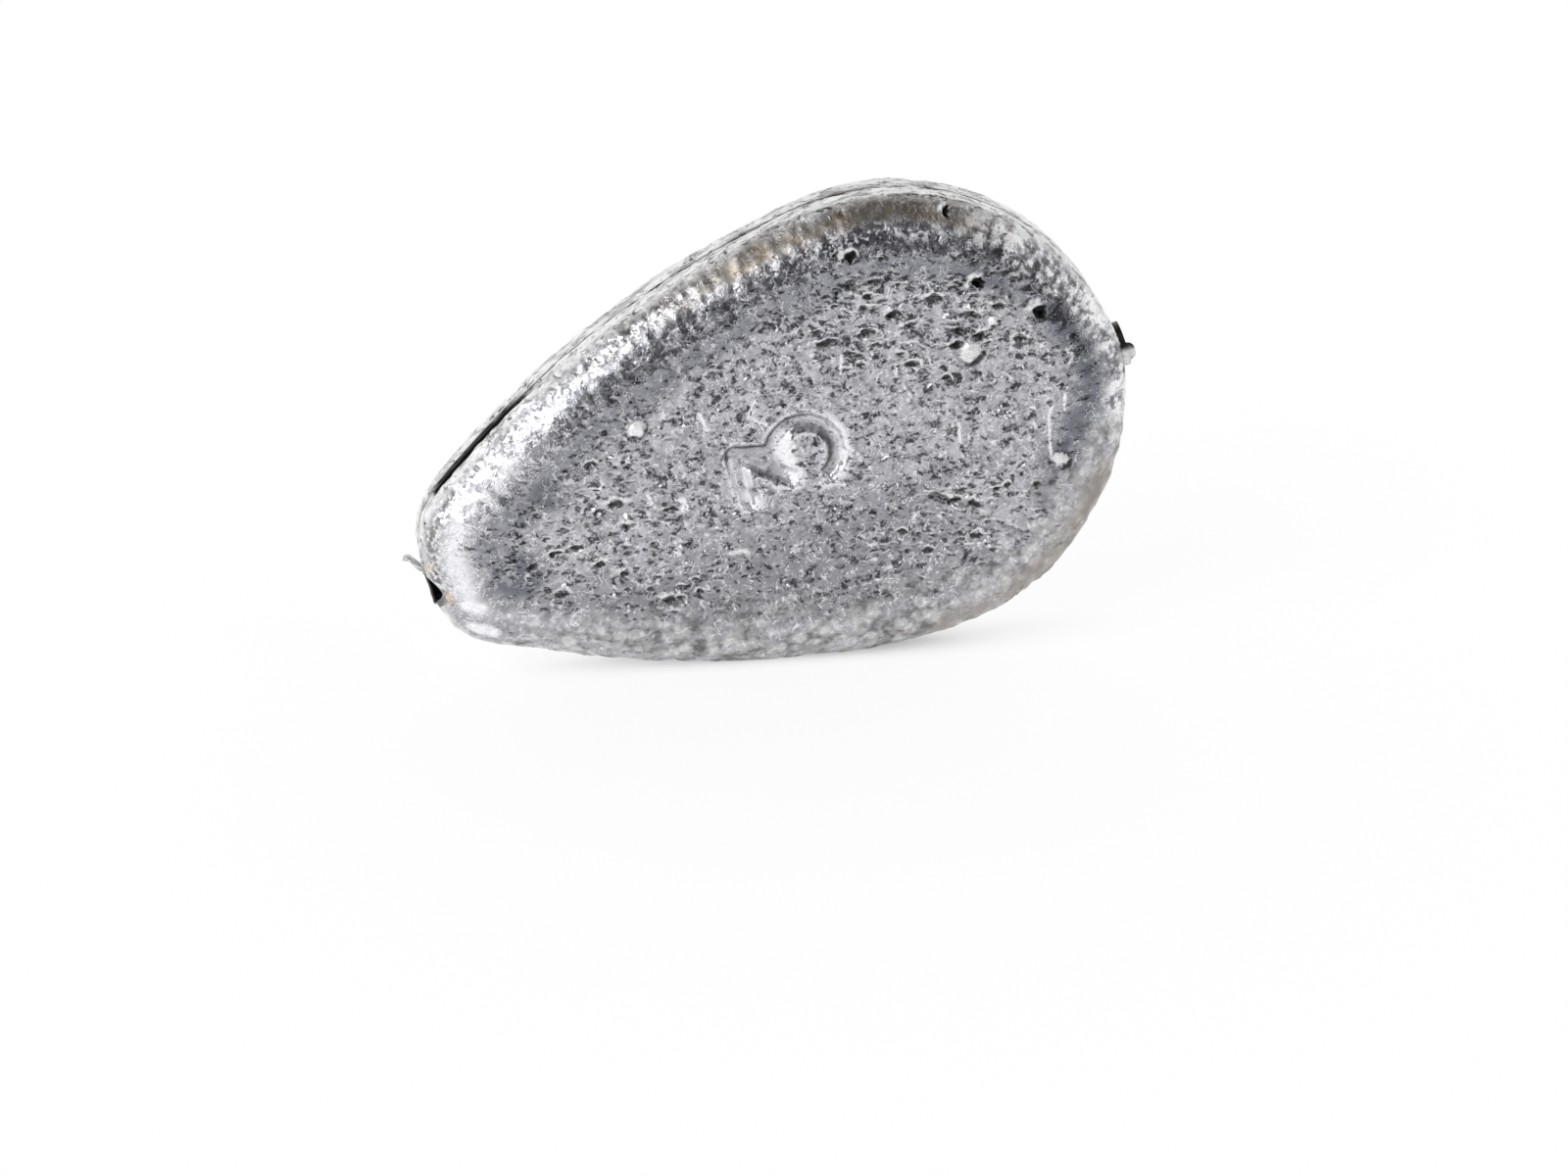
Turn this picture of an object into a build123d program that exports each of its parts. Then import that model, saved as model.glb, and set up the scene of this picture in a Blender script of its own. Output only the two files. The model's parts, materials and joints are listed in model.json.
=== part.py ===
"""Flat egg-shaped slip sinker: a lead casting poured round a thin steel line tube.

The sinker stands on its rim, as it was photographed, with its flat faces upright.
The origin is in the middle of the line bore. +Z is up, the front face looks along -Y,
and the bore rises from the narrow tail at -X to the round nose at +X.
"""

import os
from math import atan2, cos, degrees, radians, sin, sqrt

from build123d import *

# Lead casting, in millimetres
length = 48.0
nose_radius = 15.9
flank_radius = 63.0
tail_flat = 1.6
tail_corner_radius = 5.7
thickness = 7.4
land_width = 3.0
shoulder_inset = 3.8
parting_width = 0.5
parting_depth = 0.2

# Cast number sunk in the front face: a flat-topped three, turned a quarter left, measured from the middle of the casting
number_depth = 0.4
number_stroke = 1.15
number_bar_x = -2.3
number_bar_top = 2.2
number_bar_foot = -1.2
number_slant_x = 0.9
number_slant_y = -0.65
number_bowl_x = 2.2
number_bowl_y = 0.7
number_bowl_radius = 2.2
number_bowl_start = -68.0
number_bowl_arc = 263.0

# Line tube, which lies a little below the middle of the outline
tube_diameter = 3.0
tube_wall = 0.25
bore_drop = 0.9
tail_lip = 0.1
nose_lip = 0.7

# Torn petal at the tail end of the tube, bent outwards, with its tip hooked over
tail_petal_turn = -10.0
tail_petal_arc = 40.0
tail_petal_radius = 0.25
tail_petal_bend = 57.0
tail_petal_run = 0.7
tail_hook_radius = 0.25
tail_hook_bend = 140.0

# Torn petal at the nose end of the tube
nose_petal_turn = 95.0
nose_petal_arc = 50.0
nose_petal_radius = 0.7
nose_petal_bend = 40.0

# Angle in degrees at which the bore rises while the sinker stands on its rim
rest_tilt = 16.9

# How far cuts and joined solids run past each other
overrun = 0.5

# The bore plane has its x along the bore, its y up the face and its z out of the front face
bore_direction = (cos(radians(rest_tilt)), 0, sin(radians(rest_tilt)))
bore_plane = Plane(origin=(0, 0, 0), x_dir=bore_direction, z_dir=(0, -1, 0))
bore_axis = Axis(bore_plane.origin, bore_plane.x_dir)
casting_centre = bore_plane.from_local_coords((0, bore_drop, 0))
casting_plane = Plane(casting_centre, bore_plane.x_dir, bore_plane.z_dir)
front_plane = casting_plane.offset(thickness / 2)

# Centres of the nose circle and the upper tail corner, from the middle of the casting
nose_tip = length / 2
tail_tip = -length / 2
nose_x = nose_tip - nose_radius
tail_x = tail_tip + tail_corner_radius
tail_y = tail_flat / 2

# Centre of the upper flank, an arc with the nose circle and the tail corner tangent inside it
nose_reach = flank_radius - nose_radius
tail_reach = flank_radius - tail_corner_radius
gap_x = nose_x - tail_x
gap = sqrt(gap_x**2 + tail_y**2)
along = (gap**2 + nose_reach**2 - tail_reach**2) / (2 * gap)
across = sqrt(nose_reach**2 - along**2)
flank_x = nose_x - (along * gap_x + across * tail_y) / gap
flank_y = (along * tail_y - across * gap_x) / gap
nose_angle = degrees(atan2(-flank_y, nose_x - flank_x))
tail_angle = degrees(atan2(tail_y - flank_y, tail_x - flank_x))
flank_arc = tail_angle - nose_angle

# Line tube, from mouth to mouth along the bore
tail_mouth = tail_tip - tail_lip
nose_mouth = nose_tip + nose_lip
tube_length = nose_mouth - tail_mouth
tube_radius = tube_diameter / 2
wall_middle = tube_radius - tube_wall / 2
tail_plane = Plane(bore_plane.from_local_coords((tail_mouth, 0, 0)), z_dir=bore_plane.x_dir)


def draw_egg():
    """Tangent arcs from the nose tip over the upper flank to the blunt tail, and back below."""
    CenterArc((nose_x, 0), nose_radius, 0, nose_angle)
    CenterArc((flank_x, flank_y), flank_radius, nose_angle, flank_arc)
    CenterArc((tail_x, tail_y), tail_corner_radius, tail_angle, 180 - tail_angle)
    Line((tail_tip, tail_y), (tail_tip, -tail_y))
    CenterArc((tail_x, -tail_y), tail_corner_radius, 180, 180 - tail_angle)
    CenterArc((flank_x, -flank_y), flank_radius, -tail_angle, flank_arc)
    CenterArc((nose_x, 0), nose_radius, -nose_angle, nose_angle)


def lengthwise_plane(turn):
    """The bore plane, turned about the bore from its top towards the front face."""
    return Plane(bore_plane.origin, bore_plane.x_dir, bore_plane.z_dir.rotate(bore_axis, turn))


# Middle lines of the number's strokes
with BuildLine() as number_bar:
    Polyline(
        (number_bar_x, number_bar_foot),
        (number_bar_x, number_bar_top),
        (number_slant_x, number_slant_y),
    )
with BuildLine() as number_bowl:
    CenterArc((number_bowl_x, number_bowl_y), number_bowl_radius, number_bowl_start, number_bowl_arc)

# Path of the rim, once round the egg
with BuildLine(casting_plane) as rim:
    draw_egg()

# Rim section at the nose tip: x out of the rim, y through the thickness
rim_root = -shoulder_inset - overrun
face = thickness / 2
land = land_width / 2
groove = parting_width / 2
nose_point = casting_plane.from_local_coords((nose_tip, 0, 0))
section_plane = Plane(nose_point, x_dir=casting_plane.x_dir, z_dir=casting_plane.y_dir)

with BuildPart() as lead_body:
    # Flat middle, inside the shoulders
    with BuildSketch(casting_plane):
        with BuildLine():
            draw_egg()
        make_face()
        offset(amount=-shoulder_inset)
    extrude(amount=thickness / 2, both=True)
    # Rim with a round shoulder on each side, a land between them and the mould's parting groove
    with BuildSketch(section_plane):
        with BuildLine():
            Line((rim_root, face), (-shoulder_inset, face))
            TangentArc((-shoulder_inset, face), (0, land), tangent=(1, 0))
            Polyline((0, land), (0, groove), (-parting_depth, 0), (0, -groove), (0, -land))
            TangentArc((-shoulder_inset, -face), (0, -land), tangent=(1, 0))
            Polyline((-shoulder_inset, -face), (rim_root, -face), (rim_root, face))
        make_face()
    sweep(path=rim.wire())
    # Number in the front face
    with BuildSketch(front_plane):
        SlotArc(number_bar.wire(), number_stroke)
        SlotArc(number_bowl.wire(), number_stroke)
    extrude(amount=-number_depth, mode=Mode.SUBTRACT)
    # Seat of the tube, right through
    with BuildSketch(tail_plane):
        Circle(tube_radius)
    extrude(amount=tube_length, mode=Mode.SUBTRACT)

with BuildPart() as line_tube:
    with BuildSketch(tail_plane):
        Circle(tube_radius)
        Circle(tube_radius - tube_wall, mode=Mode.SUBTRACT)
    extrude(amount=tube_length)
    # Tail petal: bent out of the mouth, with its tip hooked over
    with BuildSketch(lengthwise_plane(tail_petal_turn - tail_petal_arc / 2)):
        with BuildLine():
            bend = JernArc((tail_mouth, wall_middle), (-1, 0), tail_petal_radius, -tail_petal_bend)
            run = Line(bend @ 1, bend @ 1 + (bend % 1) * tail_petal_run)
            JernArc(run @ 1, run % 1, tail_hook_radius, tail_hook_bend)
        trace(line_width=tube_wall)
    revolve(axis=bore_axis, revolution_arc=tail_petal_arc)
    # Nose petal: a plain tongue bent out of the mouth
    with BuildSketch(lengthwise_plane(nose_petal_turn - nose_petal_arc / 2)):
        with BuildLine():
            JernArc((nose_mouth, wall_middle), (1, 0), nose_petal_radius, nose_petal_bend)
        trace(line_width=tube_wall)
    revolve(axis=bore_axis, revolution_arc=nose_petal_arc)

lead_body.part.label = "lead_body"
line_tube.part.label = "line_tube"

os.makedirs("parts", exist_ok=True)
export_step(lead_body.part, "parts/lead_body.step")
export_step(line_tube.part, "parts/line_tube.step")
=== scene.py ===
"""Flat egg-shaped lead slip sinker with a thin steel line tube, standing on its rim on a white table."""

import json
from math import atan2, cos, hypot, pi, radians, sin, sqrt

import bpy
import numpy as np
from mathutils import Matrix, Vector, noise
from mathutils.geometry import delaunay_2d_cdt
from mathutils.kdtree import KDTree


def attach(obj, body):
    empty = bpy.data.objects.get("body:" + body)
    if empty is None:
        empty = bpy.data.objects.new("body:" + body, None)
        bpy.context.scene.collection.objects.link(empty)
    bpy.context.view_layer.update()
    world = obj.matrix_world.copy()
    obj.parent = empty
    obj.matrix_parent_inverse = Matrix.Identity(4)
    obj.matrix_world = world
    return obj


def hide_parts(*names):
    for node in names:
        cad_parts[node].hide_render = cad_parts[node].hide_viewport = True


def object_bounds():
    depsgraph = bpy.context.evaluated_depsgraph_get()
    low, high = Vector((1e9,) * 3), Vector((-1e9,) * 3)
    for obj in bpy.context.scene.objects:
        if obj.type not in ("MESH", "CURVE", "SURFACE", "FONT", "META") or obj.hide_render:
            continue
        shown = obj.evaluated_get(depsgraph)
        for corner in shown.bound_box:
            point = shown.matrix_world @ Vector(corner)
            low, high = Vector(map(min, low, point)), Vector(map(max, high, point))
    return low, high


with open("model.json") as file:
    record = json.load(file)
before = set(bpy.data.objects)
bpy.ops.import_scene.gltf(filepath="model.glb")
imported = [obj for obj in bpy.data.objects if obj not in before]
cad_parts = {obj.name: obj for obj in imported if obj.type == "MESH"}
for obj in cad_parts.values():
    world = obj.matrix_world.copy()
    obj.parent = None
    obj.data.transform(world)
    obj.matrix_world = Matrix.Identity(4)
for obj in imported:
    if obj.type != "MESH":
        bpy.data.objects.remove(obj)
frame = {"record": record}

cad_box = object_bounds()
MM = 0.001

# Lead casting, in millimetres
length = 48.0
nose_radius = 15.9
flank_radius = 63.0
tail_flat = 1.6
tail_corner_radius = 5.7
thickness = 7.4
land_width = 3.0
shoulder_inset = 3.8
face_margin = 4.3
bore_drop = 0.9

# Metal that swelled round the tube's nose end and at the lower tail corner
nose_swell = 0.3
nose_swell_reach = 3.0
corner_swell = 0.28
corner_swell_reach = 2.2
corner_u = -21.8
corner_v = -5.2

# Parting line, which comes and goes, and the land's edges, which wander
seam_depth = 0.11
seam_change = 0.16
seam_least = 0.02
seam_most = 0.3
seam_half_width = 0.11
seam_black_depth = 0.15
land_wander = 0.4
land_notch = 0.16
land_edge_reach = 0.5
ring_inset_share = 0.35

# Slit by the tail where the mould halves gaped: its gaps by middle, half width and share of the depth,
# and the painted shade, black, in them by middle and half width
slit_start = -22.0
slit_start_run = 0.6
slit_end = -11.5
slit_end_run = 5.0
slit_fullness = 1.15
slit_change = 0.7
slit_depth = 0.75
slit_shelf_depth = 0.12
slit_half_width = 0.8
slit_gaps = [(0.5, 0.32, 1.0), (-0.3, 0.17, 0.9)]
slit_shade_bands = [(0.3, 0.31), (-0.42, 0.13)]

# Cast number: a flat-topped three turned a quarter left, with steep upper walls and gentler right ones
half_stroke = 0.66
number_bar_x = -2.3
number_bar_top = 2.2
number_bar_foot = -1.2
number_slant_x = 0.9
number_slant_y = -0.65
slant_run_out = 1.1
number_flat_x = -0.3
number_flat_y = 1.6
number_bowl_x = 2.2
number_bowl_y = 0.7
number_bowl_radius = 2.2
number_bowl_first = -68
number_bowl_last = 195
steep_wall = 0.27
gentle_wall = 0.28

# The bowl is widest where it leaves the slanted stroke, in degrees and millimetres
broad_turn = 160
broad_reach = 55
broad_extra = 0.65
broad_wall = 0.7
inner_wall = 0.15

# Single lumps (above 0) and holes (below 0) of the front: place, half width and height
lone_marks = [
    (14.5, 3.7, 0.9, 0.42), (19.7, 4.8, 0.6, -0.4), (16.3, 8.1, 0.5, -0.36), (-7.8, 6.4, 0.7, 0.2),
    (8.9, 12.7, 0.5, -0.35), (15.8, 13.2, 0.35, -0.5), (18.2, -5.8, 0.65, 0.25), (16.5, 5.3, 0.5, 0.25),
]
round_lump_height = 0.3

# Painted highlights and bright scratches on the front: half width, and the points that each goes through
highlight_and_scratch_strokes = [
    # Painted highlights in the number: where the bowl leaves the slanted stroke, and the bar's edges and
    # foot
    (0.62, [(1.1, 2.1), (0.75, 1.45), (0.9, 0.65), (1.15, -0.4), (1.0, -1.0)]),
    (0.22, [(-2.7, 1.7), (-2.85, -1.2)]),
    (0.3, [(-1.8, 1.2), (-2.0, -0.2)]),
    (0.75, [(-2.45, -1.3), (-2.05, -1.5)]),
    # Scratches
    (0.09, [(18.6, -1.9), (18.2, -2.5), (17.7, -4.5), (17.6, -5.5)]),
    (0.08, [(19.6, -1.4), (19.3, -2.6)]),
    (0.12, [(0.1, 5.4), (-0.3, 5.0), (-0.6, 4.5), (-0.2, 4.0), (0.3, 3.6)]),
    (0.16, [(-3.6, 5.8), (-3.5, 4.6)]),
    (0.3, [(-8.2, 6.5), (-7.7, 6.0)]),
    (0.3, [(-6.5, 0.4), (-6.5, -0.2)]),
    (0.1, [(-8.5, 1.6), (-8.4, 0.9)]),
    (0.1, [(9.6, 4.6), (9.4, 3.8)]),
    (0.09, [(6.4, 6.4), (6.0, 5.2)]),
    (0.1, [(12.4, -0.8), (12.1, -2.2)]),
    (0.1, [(20.6, 1.6), (20.9, 1.0), (20.5, 0.6)]),
    # Smears on the lower tail
    (0.42, [(-22.1, -1.9), (-21.3, -2.3)]),
    (0.45, [(-22.2, -3.7), (-21.0, -4.5)]),
]

# Relief of the cast skin, in millimetres, and where its seeded noise starts
skin_seed = 4.0
skin_sizes = {
    "Ripple height": 0.12, "Pit depth": 0.62, "Grain height": 0.24, "Number depth": 0.45, "Seed": skin_seed,
}

# Line tube, in millimetres and degrees
tube_radius = 1.5
tube_wall = 0.25
tail_lip = 0.1
nose_lip = 0.7
tail_petal = {
    "turn": -28, "arc": 80, "radius": 0.25, "bend": 57, "run": 0.7, "hook_radius": 0.25, "hook": 140,
}
nose_petal = {"turn": 95, "arc": 50, "radius": 0.7, "bend": 40, "run": 0.0, "hook_radius": 0.25, "hook": 0}
torn_edge_share = 0.35

# The front of the tube's wall is broken back at the tail mouth
break_turn = 100
break_reach = 60
break_depth = 0.95
break_change = 0.25

# Cutters: a rod a little under the tube's size, so that the lead grips it, and a scoop at the tail mouth
bore_half = 27.0
bore_grip = 0.07
scoop_middle = (-24.3, -0.85, 2.3)
scoop_halves = (0.95, 1.3, 2.2)
scoop_taper = 0.35

# Mesh spacing, in millimetres and counts
rim_columns = 600
shoulder_rows = 28
flat_row = 0.17
land_rows = [1.33, 1.16, 1.0, 0.84, 0.68, 0.54, 0.42, 0.32, 0.24, 0.17, 0.11, 0.05, 0.0]
front_spacing = 0.14
back_spacing = 0.3
tube_columns = 180
tail_rows = 28
nose_rows = 22
thin_rows = 6

# Colours of the lead, from bare metal to dirt
lead_dark, lead_light = (0.33, 0.33, 0.35, 1), (0.59, 0.59, 0.63, 1)
speck_dark, speck_light = (0.14, 0.14, 0.15, 1), (0.88, 0.89, 0.94, 1)
streak_dark, streak_light = (0.24, 0.245, 0.28, 1), (0.90, 0.91, 0.96, 1)
fleck_shade_dark, fleck_highlight_white = (0.10, 0.098, 0.095, 1), (0.97, 0.97, 0.98, 1)
scuff_dark, scuff_light = (0.16, 0.16, 0.165, 1), (0.92, 0.92, 0.93, 1)
tarnish_and_reflection_grey, tarnish_and_reflection_brown = (0.25, 0.235, 0.22, 1), (0.42, 0.35, 0.27, 1)
chalk_dark, chalk_light = (0.46, 0.46, 0.46, 1), (0.97, 0.97, 0.97, 1)
oxide_dark, oxide_light = (0.1, 0.093, 0.088, 1), (0.86, 0.85, 0.84, 1)
highlight_and_scratch_white = (0.97, 0.97, 1.0, 1)
lip_highlight_white = (0.93, 0.93, 0.94, 1)
glint_white = (0.93, 0.93, 0.96, 1)
lump_highlight_white = (0.95, 0.95, 0.95, 1)
number_grey = (0.66, 0.66, 0.69, 1)
low_face_shade_grey = (0.22, 0.22, 0.235, 1)
dark_band_blue = (0.125, 0.13, 0.16, 1)
underside_shade_grey = (0.2, 0.2, 0.2, 1)
stain_brown = (0.33, 0.29, 0.26, 1)
rust_ochre = (0.66, 0.45, 0.22, 1)
wall_shade_black = (0.07, 0.07, 0.075, 1)
crease_shade_black = (0.06, 0.06, 0.06, 1)
pit_shade_black = (0.035, 0.035, 0.035, 1)
hole_shade_black = (0.02, 0.02, 0.02, 1)
slit_shade_black = (0.006, 0.006, 0.006, 1)

# Colours of the tube and the studio
steel_dark, steel_light = (0.38, 0.37, 0.36, 1), (0.75, 0.75, 0.75, 1)
steel_rust = (0.45, 0.22, 0.07, 1)
nose_shade_black = (0.035, 0.033, 0.03, 1)
tube_shade_black = (0.004, 0.004, 0.004, 1)
table_white = (0.93, 0.93, 0.93, 1)
plain_white = (1, 1, 1, 1)
dark_card_grey = (0.05, 0.052, 0.06, 1)
brown_card_grey = (0.12, 0.105, 0.09, 1)

# Studio, in metres and degrees
table_radius = 1.6
shadow_reach = 0.04
white_reach = 0.12
card_reach = 1.1
card_height = 1.7
card_turns = (-32, 50)
sheet_turns = (-40, 62)
sheet_near = 0.15
sheet_lift = 0.0004
overhead_corners = [(-1.2, -0.9, 1.7), (1.2, -0.9, 1.7), (1.2, 0.95, 1.1), (-1.2, 0.95, 1.1)]
air_strength = 2.1
seen_strength = 1.0
lamp_azimuth = -58
lamp_elevation = 33
lamp_angle = 40
lamp_energy = 0.85
lamp_colour = (0.97, 0.98, 1.0)

# Photograph in pixels: its size, the casting's middle and the scale there, and its camera
photo_width, photo_height = 1600, 1200
photo_middle_x, photo_middle_y = 784, 461.7
photo_scale = 15.4
camera_distance = 390
camera_azimuth = -9.1
camera_elevation = 22.45
camera_sensor = 36.0
camera_near = 0.01

# The casting's own directions: along the bore, up the face, out of the front face
mounts = {m["name"]: m for m in frame["record"]["mounts"]}
along_bore = Vector(mounts["line_bore"]["axis"]).normalized()
up_face = Vector((-along_bore.z, 0, along_bore.x))
out_front = Vector((0, -1, 0))
casting_middle = Vector(mounts["back_face"]["pos_m"])
casting_middle.y = 0
tilt = atan2(along_bore.z, along_bore.x)


def placed(u, v, w):
    """Casting coordinates in millimetres, from the middle of the casting, as places in metres."""
    directions = np.array([along_bore, up_face, out_front])
    return np.stack([u, v, w], -1) * MM @ directions + np.array(casting_middle)


def around(count):
    """Angles evenly spaced once round."""
    return np.linspace(0, 2 * pi, count, endpoint=False)


def new_mesh(name, places, faces):
    mesh = bpy.data.meshes.new(name)
    mesh.from_pydata(places, [], faces)
    return mesh


def new_object(name, data):
    made = bpy.data.objects.new(name, data)
    bpy.context.scene.collection.objects.link(made)
    return made


def store(mesh, name, values):
    """Keeps a number or a vector for each point of a mesh."""
    values = np.ascontiguousarray(values, np.float32)
    kind, key = ("FLOAT", "value") if values.ndim == 1 else ("FLOAT_VECTOR", "vector")
    mesh.attributes.new(name, kind, "POINT").data.foreach_set(key, values.ravel())


def operator_pair(operation):
    """An operator between a Signal and a number or Signal, and its reflected form."""
    return (
        lambda signal, other: signal.math(operation, signal, other),
        lambda signal, other: signal.math(operation, other, signal),
    )


class Signal:
    """A socket of a node tree that goes into sums as a number does."""

    def __init__(self, tree, socket=None):
        self.tree = tree
        self.socket = socket

    def node(self, kind, settings=None, inputs=None, out=0):
        """Adds a node: its settings first, then the values or links of its sockets."""
        made = self.tree.nodes.new(kind)
        for name, value in (settings or {}).items():
            setattr(made, name, value)
        for name, value in (inputs or {}).items():
            if isinstance(value, Signal):
                self.tree.links.new(value.socket, made.inputs[name])
            else:
                made.inputs[name].default_value = value
        return Signal(self.tree, made.outputs[out] if made.outputs else None)

    def output(self, name):
        """Another output of the same node."""
        return Signal(self.tree, self.socket.node.outputs[name])

    def math(self, operation, first, second=0.0):
        return self.node("ShaderNodeMath", {"operation": operation}, {0: first, 1: second})

    __add__, __radd__ = operator_pair("ADD")
    __sub__, __rsub__ = operator_pair("SUBTRACT")
    __mul__, __rmul__ = operator_pair("MULTIPLY")
    __truediv__, __rtruediv__ = operator_pair("DIVIDE")

    def most(self, other):
        return self.math("MAXIMUM", self, other)

    def least(self, other):
        return self.math("MINIMUM", self, other)

    def hypot(self, other):
        return self.math("SQRT", self * self + other * other)

    def step(self, low, high):
        """Rises smoothly from 0 at low to 1 at high."""
        ends = {"Value": self, "From Min": low, "From Max": high}
        return self.node("ShaderNodeMapRange", {"interpolation_type": "SMOOTHSTEP"}, ends)

    def hump(self, middle, reach, flat=0.0):
        """1 within the flat way of the middle, falling smoothly to 0 at the reach on either side."""
        return self.math("ABSOLUTE", self - middle).step(reach, flat)

    def noise(self, scale, detail=2.0, roughness=0.5, distortion=0.0, out=0):
        texture = {"Scale": scale, "Detail": detail, "Roughness": roughness, "Distortion": distortion}
        return self.node("ShaderNodeTexNoise", inputs={"Vector": self, **texture}, out=out)

    def noise_vector(self, scale, reach):
        """A noise in all three directions, from minus half to plus half the reach."""
        rough = self.noise(scale, 1.0, out="Color").moved(-0.5, -0.5, -0.5)
        return rough.stretched(reach, reach, reach)

    def warped(self, scale, reach):
        return self.vector("ADD", self.noise_vector(scale, reach))

    def cells(self, scale):
        return self.node("ShaderNodeTexVoronoi", inputs={"Vector": self, "Scale": scale})

    def parts(self):
        """The three numbers of a vector or colour."""
        first = self.node("ShaderNodeSeparateXYZ", inputs={0: self})
        return first, first.output(1), first.output(2)

    def vector(self, operation, other):
        return self.node("ShaderNodeVectorMath", {"operation": operation}, {0: self, 1: other})

    def moved(self, x, y, z):
        return self.vector("ADD", (x, y, z))

    def stretched(self, x, y, z):
        return self.vector("MULTIPLY", (x, y, z))

    def tinted(self, first, second):
        """A colour between the first, where this is 0, and the second, where it is 1."""
        return self.node("ShaderNodeMix", {"data_type": "RGBA"}, {0: self, 6: first, 7: second}, out=2)


# Lead casting


def egg_outline(count):
    """Points evenly spaced round the rim from the nose tip over the top, and the way out at each."""
    nose_x = length / 2 - nose_radius
    tail_x = tail_corner_radius - length / 2
    tail_y = tail_flat / 2
    nose_reach = flank_radius - nose_radius
    tail_reach = flank_radius - tail_corner_radius
    gap_x = nose_x - tail_x
    gap = hypot(gap_x, tail_y)
    along = (gap**2 + nose_reach**2 - tail_reach**2) / (2 * gap)
    across = sqrt(nose_reach**2 - along**2)
    flank_x = nose_x - (along * gap_x + across * tail_y) / gap
    flank_y = (along * tail_y - across * gap_x) / gap
    nose_turn = atan2(-flank_y, nose_x - flank_x)
    tail_turn = atan2(tail_y - flank_y, tail_x - flank_x)
    arcs = [
        (nose_x, 0, nose_radius, 0, nose_turn),
        (flank_x, flank_y, flank_radius, nose_turn, tail_turn),
        (tail_x, tail_y, tail_corner_radius, tail_turn, pi),
    ]
    lengths = [radius * (last - first) for _, _, radius, first, last in arcs]
    half = count // 2
    upper = []
    for way in np.linspace(0, sum(lengths) + tail_y, half + 1):
        for (x, y, radius, first, _), run in zip(arcs, lengths):
            if way <= run:
                turn = first + way / radius
                upper.append((x + radius * cos(turn), y + radius * sin(turn), cos(turn), sin(turn)))
                break
            way -= run
        else:
            upper.append((-length / 2, tail_y - way, -1, 0))
    upper = np.array(upper)
    lower = upper[-2:0:-1] * (1, -1, 1, -1)
    both = np.concatenate([upper, lower])
    return both[:, :2], both[:, 2:]


def rim_section():
    """Rows of the rim from the front face to the back face: inset, and height out of the middle."""
    face, land = thickness / 2, land_width / 2
    fall = face - land
    radius = (shoulder_inset**2 + fall**2) / (2 * fall)
    last = atan2(shoulder_inset, radius - fall)
    turns = np.linspace(0, last, shoulder_rows)[1:]
    flat = [(face_margin - i * flat_row, face) for i in range(3)] + [(shoulder_inset, face)]
    shoulder = [(shoulder_inset - radius * sin(t), face - radius * (1 - cos(t))) for t in turns]
    front = flat + shoulder + [(0.0, row) for row in land_rows]
    thinned = flat + shoulder[1::2] + [(0.0, row) for row in land_rows[:-1]]
    back = [(inset, -height) for inset, height in reversed(thinned)]
    return np.array(front + back)


def ridge(value, middle, half, top):
    """Falls from the top at the middle by 1 over each half width, and is kept between 0 and 1."""
    return np.clip(top - np.abs(value - middle) / half, 0, 1)


def off_stroke(u, v, start, end):
    """Way along a straight stroke, its length, and how far places lie from it in u and v."""
    (x0, y0), (x1, y1) = start, end
    run = hypot(x1 - x0, y1 - y0)
    way = ((u - x0) * (x1 - x0) + (v - y0) * (y1 - y0)) / run
    on = np.clip(way, 0, run)
    return way, run, u - x0 - on * (x1 - x0) / run, v - y0 - on * (y1 - y0) / run


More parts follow.
